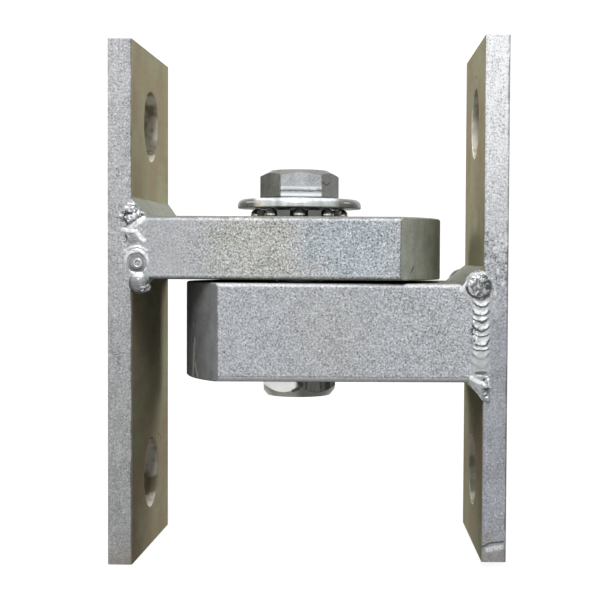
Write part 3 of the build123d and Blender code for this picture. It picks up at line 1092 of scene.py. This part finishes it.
# %% [markdown]
# The weld on the gate leaf's seam
#
# This one starts in a large round heap with a sharp dark lower lip, painted as shade under it.
# Nested ripples like smiles come down from it and fade, with crumbs beside them halfway down, and
# lumpy metal fills the corner under the arm. Shade is painted under each ripple, on one side of the
# heap, in the creases and round a pit, and highlights on the ripples, the ridge, the heap and lit
# strokes in the corner.

# %% Gate leaf seam
# CROWN and CORNER_LIT are painted highlights, and RIDGE is raised and painted bright too.
RIDGE = [((8.6, -2.4), (5.4, 0.6), 1.6), ((6.6, -0.6), (5, -4.2), 1.4)]
CROWN = [((1.2, 5.2), (-2.8, 2.4), 0.9)]
CORNER_CUT = [((-0.6, -43), (-2.2, -41), 0.8)]
CORNER_LIT = [((4.6, -36.2), (-0.4, -38.6), 1.2), ((-1.9, -36.4), (-2.6, -39.4), 0.8)]
ROUND_HEAP = (1.7, -0.4, 5, 4.9)
SIDE_PIT = (-4.3, -3.8, 1.1, 2.1)
END_SMUDGE = (0.8, -34.1, 2.8, 0.7)
ARM_FOOT = -37.9


def gate_seam(u, v, sizes):
    """The gate leaf's seam weld, with painted shade and highlights. Its ridge and the metal in the
    corner show on the front only.
    """
    rim = scattered(u, v, sizes, 2.4).sway(0.7)
    rough = scattered(u, v, sizes, 1.1)
    lump, crease = crumbs(u, v, sizes, 1.8)
    fade = ease(v, -29.5, -24)
    body = run_between(u, v, 0.9, -32, -5, 4.2) + rim
    heap = oval(u, v, *ROUND_HEAP) + rim * 0.15
    ridge = strokes(u, v, RIDGE) * ease(rough, 0.15, 0.35) * sizes["Front"]
    pit = oval(u, v, *SIDE_PIT)
    smudge = oval(u, v, *END_SMUDGE)
    corner = (1 - u / 5.6 - (ARM_FOOT - v) / 7.4).at_most((u + 3.2) / 4, (-35 - v) / 1.6)
    corner = corner + rim * 0.25 - (1 - sizes["Front"]) * HIDDEN
    crumbs_run = oval(u, v, 4.4, -19, 1.9, 4.6) + rim
    shape = body.at_least(heap + 0.35, ridge - 0.3, crumbs_run, pit + 0.4, smudge + 0.5, corner)

    step, line = ripples(u, v, sizes, 0.9, -1)
    off_heap = 1 - ease(heap, -0.3, -0.1)
    core = ease(body, 0, 0.9)
    inside = ease(body, 0.1, 0.6) * off_heap
    height = core * (sizes["Rise"] + WELD_SINK) - WELD_SINK
    height = height + step * sizes["Ripple Depth"] * inside * (fade * 0.7 + 0.3)
    # Painted shade under each ripple, and painted highlights on the ripples.
    dark = line * inside * (fade * 0.8 + 0.2) * (0.55 + ease(rough, 0.35, 0.5) * 0.6)
    lively = ease(rough, 0.34, 0.52) * (1 - ease(abs(v + 19.5), 3.5, 1.5) * 0.6)
    gleam = ease(step + rough.sway(0.7), 0.42, 0.7) * ease(body, 0.3, 0.8)
    gleam = gleam * fade * lively * off_heap
    beside = ease(oval(u, v, 3.9, -19, 2.2, 5) + rim, 0, 0.4)
    dark = dark.at_least(beside * crease * 0.9)
    height = height + beside * lump * 0.35
    gleam = gleam.at_least(beside * ease(lump, 0.8, 0.95) * ease(rough, 0.5, 0.6) * 0.9)

    on_heap = ease(heap, 0, 0.3)
    dome = (heap.at_least(0) ** 0.6) * 1.9 + (lump * 0.5 + rough * 0.9 - 0.6) * on_heap
    height = height.at_least(dome - WELD_SINK)
    # Painted shade: the heap's dark lower lip, its shaded side and a dark mottle on it.
    lip = ease(abs(heap + 0.05), 0.3, 0.1) * ease(v, 0.5, -1.5)
    shaded = ease(distance(u, v, -1.5, 0.8), 3.4, 1.2) * 0.9
    mottle = (crease * 0.6).at_least(ease(rough, 0.5, 0.4) * 0.7)
    dark = dark.at_least((mottle + shaded).at_most(0.95) * on_heap, lip)
    shine = ease(rough, 0.56, 0.66) * on_heap * 0.7
    gleam = gleam.at_least(ridge * 0.6, shine) * (1 - lip)
    crown = strokes(u, v, CROWN) * ease(rough, 0.35, 0.55)
    height = height + ridge * 0.3

    height = height.at_least(ease(pit, -0.3, 0.3) * 0.3 - WELD_SINK)
    # Painted shade round the pit's rim, and a dark smudge near the end.
    pit_rim = ease(abs(pit), 0.45, 0.1) * 0.35
    dark = dark.at_least(pit_rim, ease(smudge + rim * 0.5, 0, 0.5) * 0.8)
    pit_light = ease(oval(u, v, -4.4, -3.4, 0.7, 1.2), 0, 0.6)
    gleam = gleam.at_least(crown * 0.8, pit_light * 0.4)

    at_corner = ease(corner, 0, 0.3)
    crumbly = ease(u, 1.2, -0.4) * at_corner
    lumps = (lump * 0.8 + rough - 0.7) * crumbly
    height = height.at_least(at_corner * (0.7 + lumps) - WELD_SINK)
    cut = strokes(u, v, CORNER_CUT)
    # Painted shade at the corner and in its creases, with a dark cut; painted highlights on lit
    # strokes.
    dark = dark.at_least(at_corner * 0.25, crease * crumbly * 0.8, cut * 0.8)
    lit = strokes(u, v, CORNER_LIT) * ease(rough, 0.3, 0.5) * ease(corner, -0.1, 0.15)
    gleam = gleam.at_least(lit * 0.95)
    return shape, height, dark * (1 - lit), gleam


gate_sizes = {"Width": 19.0, "Length": 90.0, "Columns": 136, "Rows": 640, "Skin": 0.6}
gate_sizes.update({"Rise": 0.25, "Ripple Pitch": 2.9, "Ripple Depth": 0.5, "Arc": 0.15})
seam_welds(gate, gate_seam, gate_sizes, front_seed=5.0, back_seed=12.0)

# %% [markdown]
# The fillets above and below the arms
#
# The four fillets run across the plates in the corners. Their face is nearly flat, with soft
# puddle steps, and shade is painted under each step and along the ragged toe. Each has its own legs
# along the arm and up the plate, and the tree's sheet lies on the slope between them, thick enough
# to fill the corner behind it.


# %% Fillets
def fillet_face(u, v, sizes):
    """A soft, slightly domed band with puddle steps, and painted shade under each step and along
    its ragged toe.
    """
    half = sizes["Width"] * 0.5
    past = (abs(v) - sizes["Length"] * 0.5).at_least(-0.01)
    rim = scattered(u, v, sizes, 4).sway(1.1)
    across = 1 - (u / half) ** 2
    shape = (across + rim + 0.15).at_most(past * -100)
    step, line = ripples(u, v, sizes, 0, 1)
    waves = scattered(u, v, sizes, 5)
    swell = across.at_least(0)
    rise = sizes["Rise"] + waves - 0.5 + step * sizes["Ripple Depth"]
    toe = ease(across + rim, 0.35, 0.05)
    dark = (line * 0.35 * swell).at_least(toe * 0.5)
    return shape, swell * rise - WELD_SINK, dark, line * 0


fillet_sizes = {"Columns": 50, "Rows": 300, "Rise": 0.1}
fillet_sizes.update({"Ripple Pitch": 3.6, "Ripple Depth": 0.15, "Arc": 0.04})
FULL_RUN = 2 * post.half_width - 0.3
OVERLAP = 0.6
# Each fillet's leg along the arm, its leg up the plate, how far it runs from the front, and the
# tones of its rim and its core. The lower post fillet's tones are dark, painted shade under its
# arm.
FILLETS = {
    "post_weld_top": (5.0, 7.4, FULL_RUN, (134, 136, 121), (132, 134, 119)),
    "post_weld_bottom": (3.0, 3.6, 30.0, (76, 76, 68), (74, 74, 66)),
    "gate_weld_top": (8.6, 7.0, FULL_RUN, (116, 117, 101), (114, 115, 99)),
    "gate_weld_bottom": (3.8, 6.6, FULL_RUN, (136, 138, 118), (134, 136, 116)),
}
for leaf in (post, gate):
    for level, up, side in ((leaf.arm_top, 1, "top"), (leaf.arm_bottom, -1, "bottom")):
        node = f"{leaf.name}_weld_{side}"
        arm_leg, plate_leg, run, grainy, smooth = FILLETS[node]
        finish = weld_finish(node + "_zinc", leaf, grainy, smooth, *OLIVE_REST)
        tree = weld_tree(node + "_form", fillet_face, finish)
        slope = math.hypot(arm_leg, plate_leg)
        depth = arm_leg * plate_leg / slope
        own = {"Width": slope + OVERLAP, "Length": run, "Skin": depth, "Seed": 20.0 + level}
        piece = grow(node + "_run", tree, {**fillet_sizes, **own})
        across = (arm_leg / slope, 0, -up * plate_leg / slope)
        outward = (plate_leg / slope, 0, up * arm_leg / slope)
        middle_y = leaf.front * (FULL_RUN - run) / 2
        origin = Vector((leaf.inner_x + arm_leg / 2, middle_y, level + up * plate_leg / 2))
        settle(piece, (across, (0, 1, 0), outward), origin, leaf, node)

# %% [markdown]
# The floor and the wall behind
#
# The floor and the wall are shown white through Light Path, so that they light the hinge very
# little. Near the hinge the floor's own glow is a little lower, so that its shadow shows.

# %% Floor and wall
FLOOR_WHITE = (0.15, 0.15, 0.15)
FLOOR_HALF = 3
WALL_BEHIND = 1
WALL_HALF = 0.6
WALL_TOP = 0.6
middle_x = (cad_box[0].x + cad_box[1].x) / 2
floor_level = cad_box[0].z


def watching(board):
    """1 for the rays that show a thing to the camera, straight or in a reflection, else 0."""
    wires = board.add("ShaderNodeLightPath", output=None)
    seen = {wire.socket.name: wire for wire in wires}
    mirrored = (seen["Is Glossy Ray"], seen["Is Transmission Ray"])
    return seen["Is Camera Ray"].at_least(*mirrored)


def backdrop_finish(name, own_light):
    """Matt, with a glow that only the camera and reflections see, so a shadow still shows."""
    material, board = new_finish(name)
    place = board.add("ShaderNodeTexCoord", output=3)
    tone = scaled_colour(FLOOR_WHITE, 0.98 + noise(place, 0.4) * 0.04)
    matt = board.add("ShaderNodeBsdfDiffuse", {"Color": tone})
    x, y, _ = parts_of(place)
    shown = own_light + ease(distance(x, y, middle_x, 0), 0.25, 0.9) * (1 - own_light)
    sockets = {"Color": scaled_colour((1, 1, 1), shown), "Strength": watching(board)}
    glow = board.add("ShaderNodeEmission", sockets)
    show(board.add("ShaderNodeAddShader", {0: matt, 1: glow}))
    return material


def flat_sheet(name, corners, material):
    """One flat face of the stage."""
    mesh = bpy.data.meshes.new(name)
    mesh.from_pydata(corners, [], [tuple(range(len(corners)))])
    mesh.materials.append(material)
    sheet = placed(name, mesh)


corners = [
    (middle_x + i * FLOOR_HALF, j * FLOOR_HALF, floor_level)
    for i, j in ((-1, -1), (1, -1), (1, 1), (-1, 1))
]
flat_sheet("floor", corners, backdrop_finish("floor_white", 0.93))
corners = [
    (middle_x + i * WALL_HALF, WALL_BEHIND, z)
    for i, z in ((-1, floor_level), (1, floor_level), (1, WALL_TOP), (-1, WALL_TOP))
]
flat_sheet("wall", corners, backdrop_finish("wall_white", 1))
print("floor and wall set")

# %% [markdown]
# Lamps and world
#
# A broad lamp above models the arms and leaves their undersides dark, and a narrow strong one over
# the camera lights the long faces. Two lamps from behind light the sides of the plates, and a card
# at the camera lifts the shadows. The world is shown white, and lights the hinge very little.

# %% Lamps and world
WORLD_LEVEL = 0.02
# Each lamp's place in metres, its width and height, and how brightly it shines, where 1 is white.
LAMPS = {
    "top_lamp": ((0.08, 0.1, 1), 1.6, 1.2, 1.1),
    "front_lamp": ((0.06, -1, 1.25), 0.3, 0.9, 25),
    "card": ((0.1, -1.6, 0.1), 0.8, 0.8, 0.8),
    "left_lamp": ((-1.35, 0.65, 0.55), 0.5, 0.7, 9),
    "right_lamp": ((1.45, 0.65, 0.55), 0.5, 0.7, 9),
}

world = bpy.data.worlds.new("studio")
scene.world = world
world.use_nodes = True
world.node_tree.nodes.clear()
sky = Board(world.node_tree)
sockets = {"Color": (1, 1, 1, 1), "Strength": watching(sky).at_least(WORLD_LEVEL)}
glow = sky.add("ShaderNodeBackground", sockets)
sky.add("ShaderNodeOutputWorld", {"Surface": glow})

target = Vector((middle_x, 0, 0))
for name, (place, width, height, radiance) in LAMPS.items():
    light = bpy.data.lights.new(name, "AREA")
    light.shape = "RECTANGLE"
    light.size, light.size_y = width, height
    light.energy = radiance * math.pi * width * height
    holder = placed(name, light)
    holder.location = place
    holder.rotation_euler = (target - Vector(place)).to_track_quat("-Z", "Y").to_euler()
print(len(LAMPS), "lamps set")

# %% [markdown]
# The camera
#
# The camera stands a little right of the middle and a little above it, about half a metre away.
# Its lens and place were fitted to the corners, edges and holes that can be measured in the photo.
# The picture's centre of perspective is right of its middle, which the lens shift gives.

# %% Camera
# Turned about z, then tipped about x and rolled about y, in degrees.
CAMERA_TURNS = ((2.105, "Z"), (-1.935, "X"), (-0.325, "Y"), (90, "X"))
lens = bpy.data.cameras.new("view")
lens.sensor_width = 36
lens.lens = 77.08
lens.shift_x = -0.1
camera = placed("view", lens)
camera.location = (0.11568, -0.5296, 0.01854)
aim = Matrix.Identity(3)
for degrees, axis in CAMERA_TURNS:
    aim = aim @ Matrix.Rotation(math.radians(degrees), 3, axis)
camera.rotation_euler = aim.to_euler()
scene.camera = camera
scene.view_settings.view_transform = "Standard"
print("camera set")
